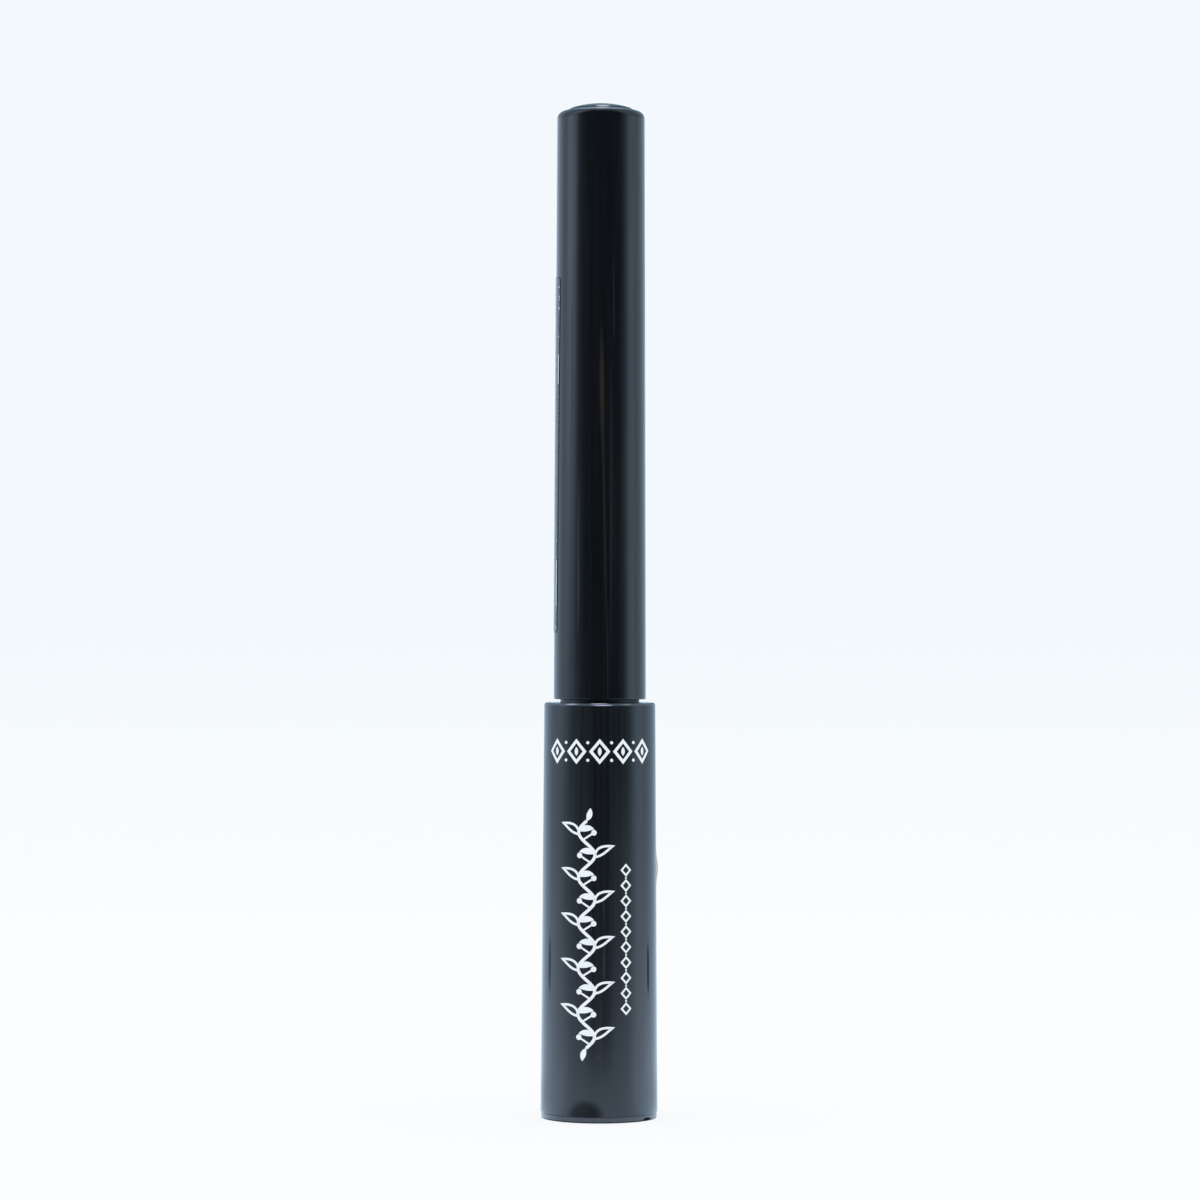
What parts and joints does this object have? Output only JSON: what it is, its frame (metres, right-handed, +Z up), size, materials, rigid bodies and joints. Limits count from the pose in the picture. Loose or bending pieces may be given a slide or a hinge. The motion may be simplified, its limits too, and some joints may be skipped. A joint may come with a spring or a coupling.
{
  "type": "liquid eyeliner bottle",
  "caption": "Slim round liquid eyeliner: a wide black bottle below, a long narrow screw cap above that carries a stem with a fine pointed brush.",
  "frame": {"origin": "centre of the foot, on the surface that the bottle stands on", "axes": "+Z up along the bottle and cap, -Y towards the viewer of the printed front, +X to the viewer's right"},
  "size_m": [0.015, 0.015, 0.1306],
  "materials": {
    "bottle_plastic": "glossy black moulding with faint upright flow streaks and white printing",
    "base_plastic": "satin dark grey-black moulding",
    "cap_plastic": "glossy black moulding with fine rub marks",
    "neck_plastic": "satin black moulding",
    "stem_plastic": "satin black moulding",
    "soft_plastic": "soft milky white moulding",
    "brush_fibre": "fine dark nylon bristles",
    "ball_steel": "polished steel",
    "clear_film": "clear adhesive film"
  },
  "bodies": {
    "bottle": {"bottle_sleeve": "bottle_plastic", "base_plug": "base_plastic", "vial": "neck_plastic", "wiper": "soft_plastic", "bottle_sticker": "clear_film"},
    "ball": {"mixing_ball": "ball_steel"},
    "applicator": {"stem": "stem_plastic", "brush_ferrule": "stem_plastic", "brush_tuft": "brush_fibre"},
    "cap": {"cap_shell": "cap_plastic", "cap_end_disc": "cap_plastic", "inner_cap": "neck_plastic", "seal_liner": "soft_plastic", "cap_film": "clear_film"}
  },
  "joints": [
    {"name": "cap_lift", "type": "slide", "parent": "bottle", "child": "applicator", "axis": [0, 0, 1], "range_m": [0, 0.06]},
    {"name": "cap_turn", "type": "hinge", "parent": "applicator", "child": "cap", "pos_m": [0, 0, 0.05385], "axis": [0, 0, 1], "range_deg": [0, 720]},
    {"name": "ball_rise", "type": "slide", "parent": "bottle", "child": "ball", "axis": [0, 0, 1], "range_m": [0, 0.04]}
  ]
}
